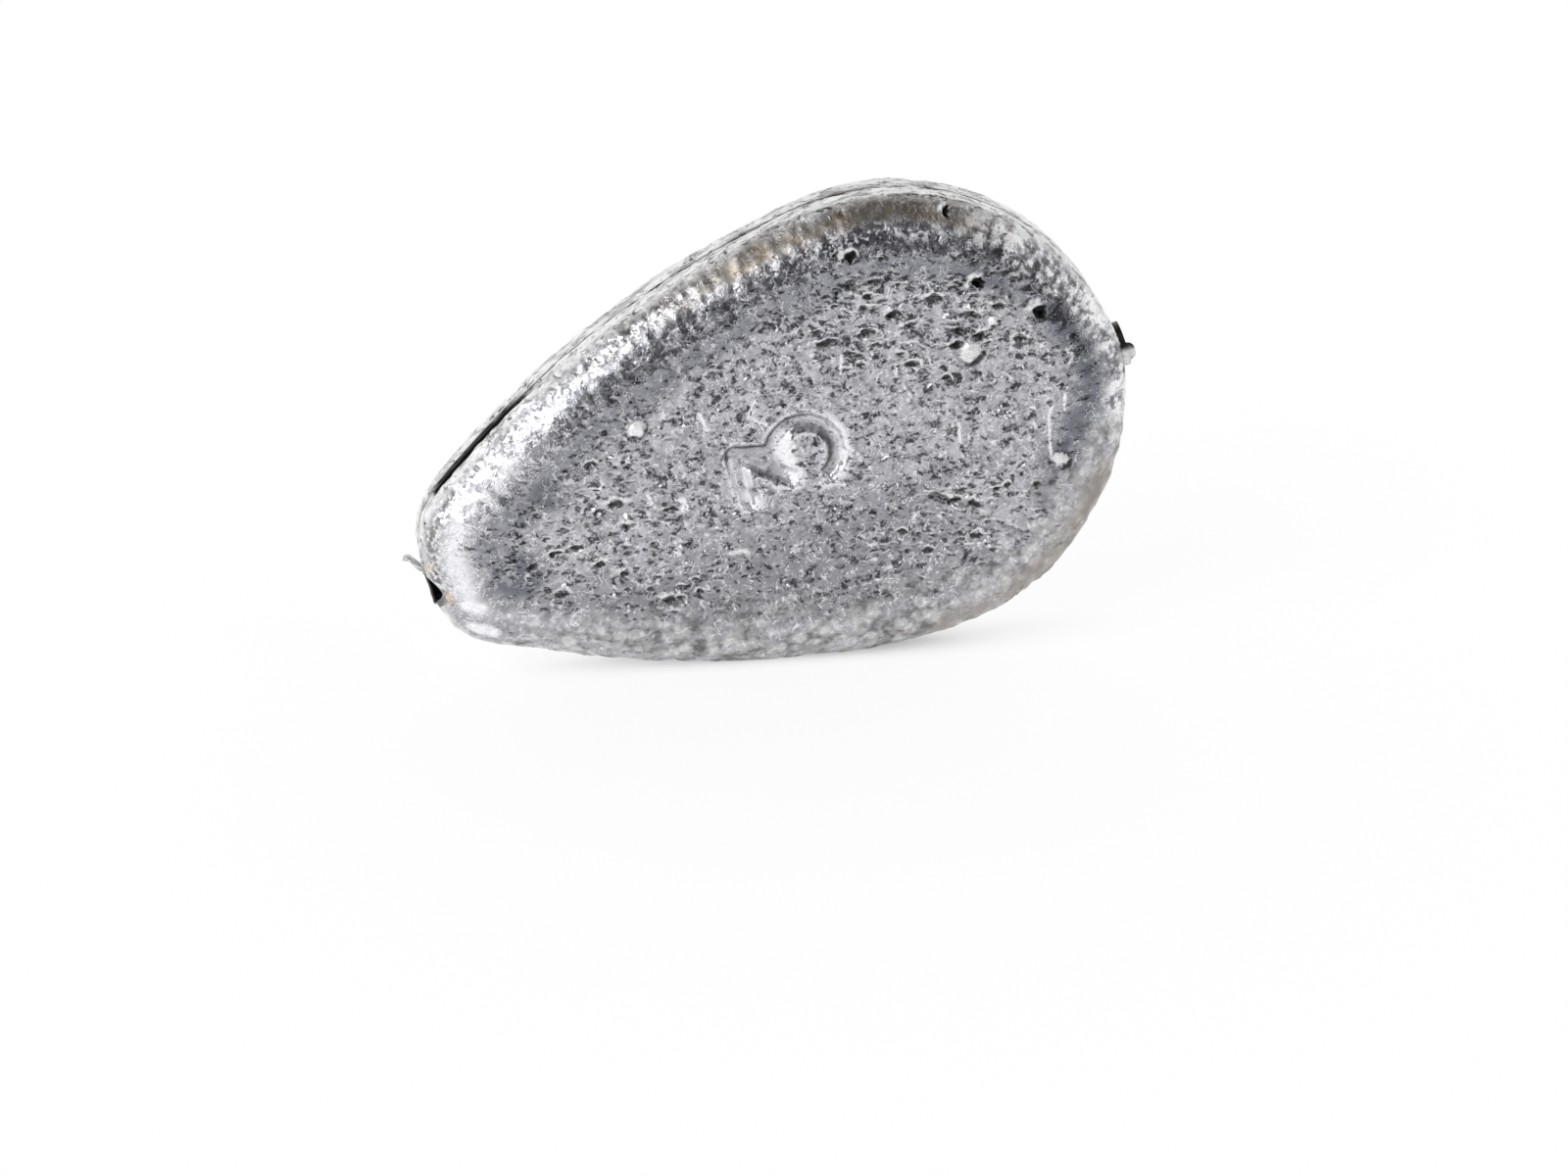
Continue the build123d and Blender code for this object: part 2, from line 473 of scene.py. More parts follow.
def numeral_mark(u, v):
    """Shares from 0 to 1 on the front face: the number's depth, painted highlights with bright scratches,
    and painted shade on its edges.
    """

    def trough(left, right):
        """Depth between two walls, from the way to each wall in wall widths."""
        depth = np.clip(np.minimum(left, right), 0, 1)
        return depth * depth * (3 - 2 * depth)

    def straight(end, run_out):
        """A stroke from the bar's top, which may run out gently, and the way out of it."""
        way, run, du, dv = off_stroke(u, v, (number_bar_x, number_bar_top), end)
        away = np.hypot(du, dv)
        wall = steep_wall + gentle_wall * np.clip(du / np.maximum(away, 1e-6), 0, 1)
        side = (half_stroke - away) / wall
        return trough(side, (run + half_stroke - way) / run_out), away - half_stroke

    bar, off_bar = straight((number_bar_x, number_bar_foot), steep_wall)
    slant, off_slant = straight((number_slant_x, number_slant_y), slant_run_out)
    flat, off_flat = straight((number_flat_x, number_flat_y), steep_wall)

    out_u, out_v = u - number_bowl_x, v - number_bowl_y
    turn = np.degrees(np.arctan2(out_v, out_u)) % 360
    facing = (turn + 180) % 360
    beyond = np.hypot(out_u, out_v) - number_bowl_radius
    broad = ridge(turn, broad_turn, broad_reach, 1)
    facing_left = np.clip(out_u / number_bowl_radius, 0, 1)
    outer = (half_stroke - beyond) / (steep_wall + gentle_wall * facing_left)
    inner = half_stroke + broad_extra * broad + beyond
    inner /= steep_wall + inner_wall + broad_wall * broad
    # Way from the nearer end of the bowl, below 0 outside it
    from_first = (turn - number_bowl_first) % 360
    to_last = number_bowl_last - number_bowl_first - from_first
    along = np.minimum(to_last, from_first) * radians(1) * number_bowl_radius
    bowl = trough(np.minimum(outer, inner), (along + half_stroke) / steep_wall)
    off_bowl = np.maximum(np.maximum(beyond, -beyond - broad_extra * broad), -along) - half_stroke
    mark = np.maximum.reduce([bar, slant, flat, bowl])
    outside = np.minimum.reduce([off_bar, off_slant, off_flat, off_bowl])

    # Bright: painted highlights on the bowl's right wall and on a thin burr round the number, and the
    # strokes, which are painted highlights and scratches
    highlights_and_scratches = [ridge(beyond, half_stroke - 0.2, 0.32, 1.6) * ridge(facing, 172, 58, 1.7)]
    for half, points in highlight_and_scratch_strokes:
        legs = [off_stroke(u, v, start, end)[2:] for start, end in zip(points, points[1:])]
        away = np.minimum.reduce([np.hypot(du, dv) for du, dv in legs])
        highlights_and_scratches.append(np.clip(1.7 - 1.4 * away / half, 0, 1))
    highlights_and_scratches.append(0.5 * ridge(outside, 0.2, 0.13, 1.3))
    highlights_and_scratches = np.maximum.reduce(highlights_and_scratches)

    # Painted shade: a dark line inside the burr, faint under the slanted stroke and along the top of the
    # bowl's inside, and a dark crescent inside the bowl's right side
    slant_u, slant_v = number_slant_x - number_bar_x, number_slant_y - number_bar_top
    below = (u - number_bar_x) * slant_v - (v - number_bar_top) * slant_u
    under_slant = (below > 0.3) * (off_bar > 0.1) * (beyond > 0)
    bowl_top = (beyond < 0) * (np.abs(turn - 100) < 60)
    line = ridge(outside, -0.12, 0.16, 1.5) * (1 - 0.6 * np.maximum(under_slant, bowl_top))
    crescent = ridge(beyond, 0.12 - half_stroke, 0.26, 1.4) * ridge(facing, 172, 45, 1.5)
    return mark, highlights_and_scratches, np.maximum(line, crescent) * (1 - highlights_and_scratches)


def face_lattice(spacing, loop, outline, outs):
    """Evenly spaced points inside the loop, with their inset and the nearest column of the outline."""
    tree = KDTree(len(outline))
    for i, (x, y) in enumerate(outline):
        tree.insert((x, y, 0), i)
    tree.balance()
    low, high = loop.min(0), loop.max(0)
    rows = np.arange(low[1], high[1], spacing * sqrt(3) / 2)
    points = []
    for i, y in enumerate(rows):
        for x in np.arange(low[0] + spacing / 2 * (i % 2), high[0], spacing):
            nearest = tree.find((x, y, 0))[1]
            inset = (outline[nearest] - (x, y)) @ outs[nearest]
            if inset > face_margin + spacing * 0.5:
                points.append((x, y, inset, nearest))
    return np.array(points)


def lead_mesh():
    """Closed mesh of the casting: a swept rim with a finely divided flat face on each side."""
    outline, outs = egg_outline(rim_columns)
    columns = len(outline)
    u0, v0 = outline.T
    swell = nose_swell * np.exp(-(((v0 + bore_drop) / nose_swell_reach) ** 2)) * (u0 > 0)
    from_corner = ((u0 - corner_u) / corner_swell_reach) ** 2 + ((v0 - corner_v) / corner_swell_reach) ** 2
    swell += corner_swell * np.exp(-from_corner)
    # Ways round the rim, as a ring, for what follows the rim
    turns = around(columns)
    ring_radius = np.hypot(*np.diff(outline, axis=0).T).sum() / (2 * pi)
    ring = np.stack([np.cos(turns), np.sin(turns)], -1) * ring_radius

    def wander(scale, layer):
        return np.array([noise.noise((x * scale, y * scale, layer)) for x, y in ring])

    def block(height, middle, half, power):
        """1 at the middle and little past the half width, with sides that steepen with the power."""
        return np.exp(-(((height - middle) / half) ** power))

    gape = np.clip((u0 - slit_start) / slit_start_run, 0, 1) * (v0 > 0)
    gape = gape * np.clip((slit_end - u0) / slit_end_run, 0, 1)
    gape = np.clip(gape * (slit_fullness + slit_change * wander(0.9, 7.0)), 0, 1)
    seam = np.clip(seam_depth + seam_change * wander(0.7, 3.0), seam_least, seam_most)
    front_edge = land_wander * wander(0.22, 1.0) + land_notch * wander(0.9, 5.0)
    back_edge = land_wander * wander(0.22, 9.0)
    land = land_width / 2
    rows, insets, slits = [], [], []
    for inset, height in rim_section():
        on_land = inset == 0.0
        line = block(height, 0.0, seam_half_width, 2) * on_land
        gaps = sum(share * block(height, middle, half, 4) for middle, half, share in slit_gaps)
        black = sum(block(height, middle, half, 6) for middle, half in slit_shade_bands)
        opened = slit_depth * gaps + slit_shelf_depth * (abs(height) < slit_half_width)
        carved = seam * line * (1 - gape) + gape * opened * on_land
        away = inset - swell * (1 - inset / face_margin) + carved
        edge = front_edge * block(height, land, land_edge_reach, 2)
        edge = edge + back_edge * block(height, -land, land_edge_reach, 2)
        places = u0 - outs[:, 0] * away, v0 - outs[:, 1] * away, height + edge * (1 - gape)
        rows.append(np.stack(places, -1))
        insets.append(np.full(columns, inset))
        # Painted shade: black in the parting line's groove by its depth, and in the slit's gaps
        shaded = line * np.clip(seam / seam_black_depth, 0, 1)
        slits.append(np.maximum(shaded, np.minimum(black, 1) * gape * on_land))
    faces = []
    for r in range(len(rows) - 1):
        near, far = r * columns, (r + 1) * columns
        for c in range(columns):
            d = (c + 1) % columns
            faces.append((near + c, far + c, far + d, near + d))
    total = len(rows) * columns
    rings = [ring] * len(rows)
    front = 0, rows[0], thickness / 2, front_spacing
    back = total - columns, rows[-1], -thickness / 2, back_spacing
    for first, row, height, spacing in (front, back):
        loop = row[:, :2]
        inner = face_lattice(spacing, loop, outline, outs)
        flat = np.concatenate([loop, inner[:, :2]])
        edges = [(c, (c + 1) % columns) for c in range(columns)]
        filled = delaunay_2d_cdt([Vector(p) for p in flat], edges, [], 1, 1e-7)
        numbers = [first + i if i < columns else total + i - columns for i in range(len(flat))]
        for corners in filled[2]:
            filling = tuple(numbers[i] for i in corners)
            faces.append(filling if height > 0 else filling[::-1])
        rows.append(np.column_stack([inner[:, :2], np.full(len(inner), height)]))
        insets.append(inner[:, 2])
        slits.append(np.zeros(len(inner)))
        rings.append(ring[inner[:, 3].astype(int)])
        total += len(inner)
    cast, inset = np.concatenate(rows), np.concatenate(insets)
    mark, highlights_and_scratches, edge = (share * (cast[:, 2] > 0.5) for share in numeral_mark(cast[:, 0], cast[:, 1]))
    mesh = new_mesh("rough_casting", placed(*cast.T).tolist(), faces)
    slit, ring = np.concatenate(slits), np.column_stack([np.concatenate(rings), inset * ring_inset_share])
    shares = {"inset": inset, "slit": slit, "mark": mark, "highlights_and_scratches": highlights_and_scratches, "edge": edge}
    for name, values in {"cast": cast, "ring": ring, **shares}.items():
        store(mesh, name, values)
    mesh.shade_smooth()
    return mesh


def pit_pattern(place, cast, inset):
    """Pits of the cast skin: their depth in millimetres, and where to paint a highlight on their upper lips
    and shade on their lower walls.
    """
    u, v, _ = cast.parts()
    face = inset.step(3.4, 5)
    # They are flattened along the level of the pour, lie in clusters, and are fewest round the number
    turned = {"Vector": place, "Angle": tilt}
    level = place.node("ShaderNodeVectorRotate", {"rotation_type": "Z_AXIS"}, turned)
    flow = level.vector("ADD", place.noise_vector(1.1, 0.7)).stretched(0.62, 1, 0.62)
    upper_nose = u.step(3, 8) * (v + u * 0.2).step(4.5, 7.5)
    lower_nose = u.step(3, 8) * v.step(-3.5, -6) * 0.75
    tail_side = u.step(-6, -10) * v.hump(-1, 7) * 0.7
    upper_tail = u.hump(-9, 6) * v.hump(5, 3) * 0.8
    low_side = u.hump(-8, 10) * v.hump(-5, 3) * 0.7
    clusters = upper_nose.most(lower_nose).most(tail_side).most(upper_tail).most(low_side)
    patchy = place.moved(7, 3, 1).noise(0.3, 2).step(0.36, 0.6)
    clusters = (clusters * (0.45 + patchy * 0.55)).most(upper_nose * (0.75 + patchy * 0.25))
    band = 1 - inset.hump(4, 1) * 0.85

    def pits(scale, lowest, highest, fill, offset):
        """Dents, one to a cell, between two radii: their depth, and the painted highlight of the upper lip
        and painted shade of the lower wall.
        """
        from_cell = flow.moved(offset, offset, offset)
        spot = from_cell.cells(scale)
        size, chance, _ = spot.output("Color").parts()
        radius = lowest + size * size * (highest - lowest)
        here = (fill - chance).step(0, 0.08)
        away = spot / (radius * scale)
        rise = from_cell.vector("SUBTRACT", spot.output("Position")).parts()[1] / radius
        upper = rise.step(0.1, 0.5) * away.step(2, 1.2) * here
        lower = rise.step(0.3, 0.12) * rise.step(-1.1, -0.2) * away.step(1.15, 0.85) * here
        return (1 - away * away).most(0) * radius * here, upper, lower

    large, large_upper, large_lower = pits(0.62, 0.3, 0.6, clusters * 0.55 * face, 11)
    small, small_upper, small_lower = pits(1.1, 0.18, 0.42, clusters * face + 0.04, 29)
    tiny, tiny_upper, tiny_lower = pits(1.9, 0.12, 0.26, clusters * 0.8 * face + 0.1, 47)
    pitted = (large * 0.8 + small + tiny) * band
    upper_lip = large_upper.most(small_upper).most(tiny_upper * 0.45) * band
    dark_wall = large_lower.most(small_lower).most(tiny_lower * 0.6) * band
    return pitted, upper_lip, dark_wall


def lone_pattern(cast):
    """Single lumps and holes of the front: their height, painted highlights on lips and tops, and painted
    shade in holes and under lumps.
    """
    torn_u, torn_v, w = cast.warped(1.9, 0.9).parts()
    round_u, round_v, _ = cast.warped(1.3, 0.25).parts()
    front = w.step(0, 2)
    height = bright = dark = 0.0
    for at_u, at_v, reach, rise in lone_marks:
        u, v = (round_u, round_v) if rise > round_lump_height else (torn_u, torn_v)
        away = (u - at_u).hypot(v - at_v) / reach
        above = (v - at_v + (at_u - u) * 0.4) / reach
        height = away.step(1, 0.35) * front * rise + height
        if rise < 0:
            # A hole has a painted highlight on the lip above it and painted shade, black, inside
            bright = (away.step(1.8, 1.2) * above.step(0.5, 1) * front).most(bright)
            dark = (away.step(0.95, 0.7) * above.step(0.6, 0.4) * front).most(dark)
        else:
            # A lump has a painted highlight on top and painted shade underneath
            bright = (away.step(0.95, 0.65) * above.step(-0.7, -0.3) * front).most(bright)
            dark = (away.step(1.3, 1) * above.step(-0.5, -0.8) * front * 0.9).most(dark)
    return height, bright, dark


def cast_skin():
    """Geometry tree that gives the casting its uneven, pitted skin and presses the number into it."""
    tree = bpy.data.node_groups.new("cast_skin", "GeometryNodeTree")

    def socket(name, kind, side="INPUT"):
        return tree.interface.new_socket(name=name, in_out=side, socket_type=kind).identifier

    socket("Geometry", "NodeSocketGeometry")
    socket("Geometry", "NodeSocketGeometry", "OUTPUT")
    sockets = {name: socket(name, "NodeSocketFloat") for name in skin_sizes}
    sockets["Finish"] = socket("Finish", "NodeSocketMaterial")
    s = Signal(tree)
    given = s.node("NodeGroupInput")

    def named(name, kind="FLOAT"):
        return s.node("GeometryNodeInputNamedAttribute", {"data_type": kind}, {"Name": name})

    cast, ring = named("cast", "FLOAT_VECTOR"), named("ring", "FLOAT_VECTOR")
    inset, slit, mark = named("inset"), named("slit"), named("mark")
    seed = given.output("Seed")
    place = cast.vector("ADD", s.node("ShaderNodeCombineXYZ", inputs={0: seed, 1: seed, 2: seed}))
    face = inset.step(3.4, 5)
    shoulder = inset.step(0.1, 0.6) * inset.step(4.4, 3)
    land = inset.step(0.4, 0)
    calm = 1 - slit.step(0.05, 0.4)

    # Slow unevenness of the mould, then lumps, short streaks across the shoulders and a rough land
    ripple = (place.noise(0.13, 2) - 0.5) * 1.2 + (place.noise(0.5, 2) - 0.5) * 0.5
    grain = (place.noise(1.3, 2, 0.55) - 0.5) * (0.55 + face * 0.45)
    streaks = (ring.noise(0.9, 2, 0.6) - 0.5) * shoulder * 0.3
    rough_land = (cast.stretched(0.5, 0.5, 1.3).noise(1.4, 3, 0.6) - 0.5) * land * 0.3
    pitted, upper_lip, _ = pit_pattern(place, cast, inset)
    lone, lone_highlight, _ = lone_pattern(cast)

    skin = (
        ripple * given.output("Ripple height")
        + grain * given.output("Grain height")
        + streaks
        + rough_land
        + upper_lip * 0.07
        - pitted * (1 - lone_highlight) * given.output("Pit depth")
    )
    height = skin * calm * (1 - mark * 0.75) - mark * given.output("Number depth") + lone
    normal = s.node("GeometryNodeInputNormal")
    offset = s.node("ShaderNodeVectorMath", {"operation": "SCALE"}, {0: normal, "Scale": height * MM})
    lifted = s.node("GeometryNodeSetPosition", inputs={"Geometry": given, "Offset": offset})
    real = s.node("GeometryNodeRealizeInstances", inputs={"Geometry": lifted})
    finish = given.output("Finish")
    dressed = s.node("GeometryNodeSetMaterial", inputs={"Geometry": real, "Material": finish})
    s.node("NodeGroupOutput", inputs={"Geometry": dressed})
    return tree, sockets


def bore_cutter():
    """Rod that opens the bore through the casting."""
    count, radius = 96, tube_radius - bore_grip
    ends = (-bore_half, bore_half)
    places = [(u, radius * cos(t) - bore_drop, radius * sin(t)) for u in ends for t in around(count)]
    faces = [(i, (i + 1) % count, count + (i + 1) % count, count + i) for i in range(count)]
    faces += [tuple(range(count))[::-1], tuple(range(count, 2 * count))]
    return places, faces


def scoop_cutter():
    """Egg-shaped lump that lays the tube open at the front of its tail mouth."""
    rings, columns = 24, 48
    ball = [(0.0, 0.0, 1.0)]
    for i in range(1, rings):
        t = pi * i / rings
        ball += [(sin(t) * cos(a), sin(t) * sin(a), cos(t)) for a in around(columns)]
    ball.append((0.0, 0.0, -1.0))
    last = len(ball) - 1
    faces = []
    for j in range(columns):
        k = (j + 1) % columns
        faces.append((0, 1 + j, 1 + k))
        faces.append((last, last - columns + k, last - columns + j))
        for i in range(rings - 2):
            a, b = 1 + i * columns, 1 + (i + 1) * columns
            faces.append((a + j, b + j, b + k, a + k))
    ball = np.array(ball)
    halves = np.array(scoop_halves) - ball[:, 1:2] * (scoop_taper, 0, 0)
    return np.array(scoop_middle) + halves * ball, faces


def lead_casting(finish):
    rough = new_object("rough_casting", lead_mesh())
    tree, sockets = cast_skin()
    skin = rough.modifiers.new("cast_skin", "NODES")
    skin.node_group = tree
    for name, value in {**skin_sizes, "Finish": finish}.items():
        skin[sockets[name]] = value
    spent = [rough]
    for name, (places, faces) in (("bore_rod", bore_cutter()), ("mouth_scoop", scoop_cutter())):
        cutter = new_object(name, new_mesh(name, placed(*np.array(places).T).tolist(), faces))
        cut = rough.modifiers.new(name, "BOOLEAN")
        cut.operation = "DIFFERENCE"
        cut.solver = "MANIFOLD"
        cut.object = cutter
        spent.append(cutter)
    rough.update_tag()
    bpy.context.view_layer.update()
    evaluated = rough.evaluated_get(bpy.context.evaluated_depsgraph_get())
    mesh = bpy.data.meshes.new_from_object(evaluated)
    for piece in spent:
        bpy.data.objects.remove(piece)
    mesh.name = "lead_casting"
    return new_object("lead_casting", mesh)


# Line tube


def petal_path(petal, rows):
    """A torn petal's middle line from the mouth: way out along the bore, way out from the wall, slope."""
    radius, hook_radius = petal["radius"], petal["hook_radius"]
    bend_run, straight_run = radius * radians(petal["bend"]), petal["run"]
    hook_run = hook_radius * radians(petal["hook"])
    path = []
    for way in np.linspace(0, bend_run + straight_run + hook_run, rows):
        slope = min(way, bend_run) / radius
        x, r = radius * sin(slope), radius * (1 - cos(slope))
        straight = min(max(way - bend_run, 0), straight_run)
        x, r = x + straight * cos(slope), r + straight * sin(slope)
        hooked = max(way - bend_run - straight_run, 0)
        if hooked > 0:
            bend = hooked / hook_radius
            x += hook_radius * (sin(slope) - sin(slope - bend))
            r += hook_radius * (cos(slope - bend) - cos(slope))
            slope -= bend
        path.append((x, r, slope))
    return np.array(path)


def petal_left(path, share):
    """The share of a petal's path that is left, in as many rows."""
    at = np.linspace(0, min(share, 1.0) * (len(path) - 1), len(path))
    return np.stack([np.interp(at, np.arange(len(path)), path[:, k]) for k in range(3)], -1)


def tube_mesh():
    """The thin tube: an outer and an inner wall, joined round both torn edges."""
    turns = around(tube_columns)
    ragged = np.array([noise.noise((3 * cos(t), 3 * sin(t), 5.0)) for t in turns])

    def off_turn(turn):
        return np.abs((np.degrees(turns) - turn + 180) % 360 - 180)

    def reach(petal):
        """How far along the petal the wall goes at each turn."""
        away = off_turn(petal["turn"]) / (petal["arc"] / 2)
        tongue = np.sqrt(np.clip(1.15 - away**2, 0, 1))
        return np.clip(tongue, 0.03, 1) * (0.95 + 0.05 * ragged) + 0.02 * (ragged + 1)

    broken = np.clip(1.25 - (off_turn(break_turn) / break_reach) ** 2, 0, 1)
    broken *= break_depth + break_change * ragged
    mid = tube_radius - tube_wall / 2
    tail_end, nose_end = -length / 2 - tail_lip, length / 2 + nose_lip
    # Rows along the straight wall, closer together towards its ends
    close = np.linspace(0, 1, 8) ** 2 * 0.1
    straight = np.concatenate([close, np.linspace(0.15, 0.85, 15), 1 - close[::-1]])
    tail, nose = petal_path(tail_petal, tail_rows), petal_path(nose_petal, nose_rows)
    lines = []
    for start, tail_share, nose_share in zip(tail_end + broken, reach(tail_petal), reach(nose_petal)):
        first, last = petal_left(tail, tail_share), petal_left(nose, nose_share)
        line = [(start - x, mid + r, slope) for x, r, slope in first[:0:-1]]
        line += [(start + s * (nose_end - start), mid, 0) for s in straight]
        line += [(nose_end + x, mid + r, slope) for x, r, slope in last[1:]]
        lines.append(line)
    lines = np.array(lines)
    x, r, slope = lines[:, :, 0], lines[:, :, 1], lines[:, :, 2]
    count = lines.shape[1]
    thin = np.ones(count)
    thin[:thin_rows] = np.linspace(torn_edge_share, 1, thin_rows)
    thin[-thin_rows:] = np.linspace(1, torn_edge_share, thin_rows)
    towards = np.where(np.arange(count) < len(tail) - 1, -1.0, 1.0)
    places = []
    for side in (1, -1):
        half = side * tube_wall / 2 * thin
        along = x - towards * np.sin(slope) * half
        out = r + np.cos(slope) * half
        up = out * np.cos(turns)[:, None] - bore_drop
        front = out * np.sin(turns)[:, None]
        places.append(placed(along.ravel(), up.ravel(), front.ravel()))
    inner = tube_columns * count
    faces = []
    for i in range(tube_columns):
        j = (i + 1) % tube_columns
        for k in range(count - 1):
            a, b, c, d = i * count + k, i * count + k + 1, j * count + k + 1, j * count + k
            faces.append((a, b, c, d))
            faces.append((inner + d, inner + c, inner + b, inner + a))
        for k, order in ((0, 1), (count - 1, -1)):
            rim = (i * count + k, j * count + k, inner + j * count + k, inner + i * count + k)
            faces.append(rim[::order])
    mesh = new_mesh("line_tube", np.concatenate(places).tolist(), faces)
    # How far inside the tube the inner wall lies, for the painted shade in it
    inside = np.clip((np.minimum(x - tail_end, nose_end - x) + 0.15) / 0.2, 0, 1)
    store(mesh, "inside", np.concatenate([np.zeros(inner), inside.ravel()]))
    mesh.shade_smooth()
    return mesh


def line_tube(finish):
    tube = new_object("torn_line_tube", tube_mesh())
    tube.data.materials.append(finish)
    return tube


# Finishes


def new_finish(name):
    material = bpy.data.materials.new(name)
    material.use_nodes = True
    material.node_tree.nodes.clear()
    return material, Signal(material.node_tree)


def finished(material, surface):
    surface.node("ShaderNodeOutputMaterial", inputs={"Surface": surface})
    return material


def metal_surface(colour, metallic, roughness, bump):
    inputs = {"Base Color": colour, "Metallic": metallic, "Roughness": roughness, "Normal": bump}
    return colour.node("ShaderNodeBsdfPrincipled", inputs=inputs)


def casting_place(s):
    """Object coordinates turned into the casting's own directions, in millimetres."""
    place = s.node("ShaderNodeTexCoord", out="Object")
    centred = place.moved(-casting_middle.x, 0, -casting_middle.z)
    turned = {"Vector": centred, "Rotation": (0, tilt, 0), "Scale": (1 / MM, 1 / MM, 1 / MM)}
    return s.node("ShaderNodeMapping", inputs=turned)


def stored(s, name, out="Fac"):
    return s.node("ShaderNodeAttribute", {"attribute_name": name}, out=out)


def lead_finish():
    """Cast lead: bluish grey with a painted dark reflection band, pale oxide, brown tarnish, fine
    scratches, and painted highlights and shade.
    """
    material, s = new_finish("cast_lead")
    place = casting_place(s)
    cast, ring = stored(s, "cast", "Vector"), stored(s, "ring", "Vector")
    inset, slit, mark, highlights_and_scratches, edge = (stored(s, name) for name in ("inset", "slit", "mark", "highlights_and_scratches", "edge"))
    u, v, w = cast.parts()
    face = inset.step(2.6, 4.4)
    shoulder = inset.step(0.1, 0.6) * inset.step(4.6, 3.2)
    land = inset.step(0.5, 0)
    pitted, upper_lip, dark_wall = pit_pattern(cast.moved(skin_seed, skin_seed, skin_seed), cast, inset)
    _, lone_highlight, lone_shade = lone_pattern(cast)

    def near(at_u, at_v, reach):
        """1 at a place on the face, falling to 0 at the reach."""
        return (u - at_u).hypot(v - at_v).step(reach, reach * 0.4)

    coarse = place.noise(0.35, 3, 0.55)
    grain = place.noise(2, 1.5, 0.5)
    fine = place.moved(4, 8, 3).noise(5.5, 1, 0.5)
    specks = place.moved(5, 9, 2).noise(3.2, 2, 0.6)
    mottle = (place.moved(9, 4, 7).noise(0.95, 4, 0.68) + (coarse - 0.5) * 0.25).step(0.3, 0.7)
    streaks = ring.stretched(1, 1, 2.2).noise(1.4, 3, 0.62) * 0.6
    streaks = streaks + place.moved(2, 2, 6).noise(1.3, 3, 0.6) * 0.4

    # Small facets of the skin, each tilted its own way, as heights
    bent = place.warped(1.6, 0.7)

    def facets(scale, offset):
        at = bent.moved(offset, 2, offset)
        cell = at.cells(scale)
        lean, nod, rise = cell.output("Color").parts()
        across, _, up = at.vector("SUBTRACT", cell.output("Position")).parts()
        return across * (lean - 0.5) + up * (nod - 0.5) + (rise - 0.5) * 0.05

    broken = facets(0.9, 3) * 0.3 + facets(2.4, 15) * 0.6

    # Fine wavy scratches
    def hairs(offset, scale):
        bend = place.moved(offset, 1, 8).noise(scale, 1, 0.5, 1.6)
        return bend.hump(0.5, 0.042, 0.012) * place.moved(1, offset, 6).noise(1.2, 1).step(0.48, 0.56)

    wisps = hairs(3, 1).most(hairs(21, 1.5))

    # Painted dark reflection just inside the shoulder, where the skin is also smoother, broken along its
    # inner edge, and darker patches at the tail
    wander = (place.moved(2, 6, 1).noise(0.55, 3, 0.6) - 0.5) * 3.2
    right = u.step(12, 18) * v.step(-6, -1) * v.step(11, 6)
    band = (inset + wander * (1 - right * 0.6) + right * 1.7).hump(4.3, 2.2) * (v + u * 0.12).step(-8.5, -3)
    band = band * (1 - u.step(0, 5) * v.step(4, 8) * inset.step(3.6, 2.6) * 0.75)
    darker_tail_patches = near(-18.4, -0.6, 2.8).most(near(-14.6, 4, 1.9)) * place.noise(0.9, 2).step(0.38, 0.5)
    painted_dark_band = (band * (0.6 + u.step(12, 18) * 0.35)).most(darker_tail_patches * 0.95)

    # White flecks on the nose's upper shoulder, partly oxide and partly a painted highlight, with painted
    # shade between them
    flecked = u.step(14, 19) * v.step(-8, -3) * (inset + v.step(7, 2) * 0.9).hump(1.3, 1.8)
    flecked = (flecked * 1.4).least(1)
    flecks = ring.moved(6, 2, 4).stretched(1, 1, 1.8).noise(1.1, 3, 0.62) * 0.5
    flecks = flecks + place.noise(1.9, 4, 0.65) * 0.5
    white = flecked * flecks.step(0.5, 0.55)

    # The outer shoulder of the tail side is scuffed dark, with bright specks
    scuffed = u.step(4, -2) * v.step(-3, -0.5)
    scuffed = scuffed * (inset + (place.noise(0.8, 2) - 0.5) * 1.2).hump(0.75, 0.85)
    scuffs = place.moved(2, 9, 5).noise(2.6, 3, 0.6).step(0.44, 0.58)

    # Brown tarnish along the upper rim, partly a painted dark reflection, and painted glints where the
    # nose's shoulder meets the face
    uneven = (place.moved(1, 5, 2).noise(0.5, 2) - 0.5) * 0.9
    tarnish = (inset + uneven).hump(0.85, 1.1) * u.step(-7, 3) * u.step(20, 15) * v.step(7, 10)
    browned = place.noise(0.6, 3).step(0.3, 0.7).tinted(tarnish_and_reflection_grey, tarnish_and_reflection_brown)
    glint_places = u.step(-2, 4) * u.step(19, 15) * v.step(5, 9) * inset.hump(2, 1.2)
    painted_glints = glint_places * place.moved(7, 1, 4).noise(2.2, 3, 0.6).step(0.52, 0.6)

    # Chalky land, with painted shade in the dark creases that run along it
    chalk = place.stretched(0.6, 1.6, 0.6).noise(1, 4, 0.65).step(0.36, 0.54)
    across, upward, _ = ring.parts()
    rim_place = s.node("ShaderNodeCombineXYZ", inputs={0: across, 1: upward, 2: w * 3.5})
    shaded_creases = rim_place.noise(0.75, 2, 0.6).hump(0.5, 0.03, 0.012) * inset.step(0.35, 0.1)
    shaded_creases = shaded_creases * rim_place.moved(4, 4, 4).noise(0.5, 2).step(0.42, 0.52)

    # Painted highlight: a white band on the tail's shoulder, smoother than the rest
    frayed = (coarse - 0.5) * 1.6 + (specks - 0.5) * 1.2
    painted_tail_highlight = u.step(-10, -16) * (inset + frayed).hump(2.1, 1.5) * v.step(-4.5, -0.5)

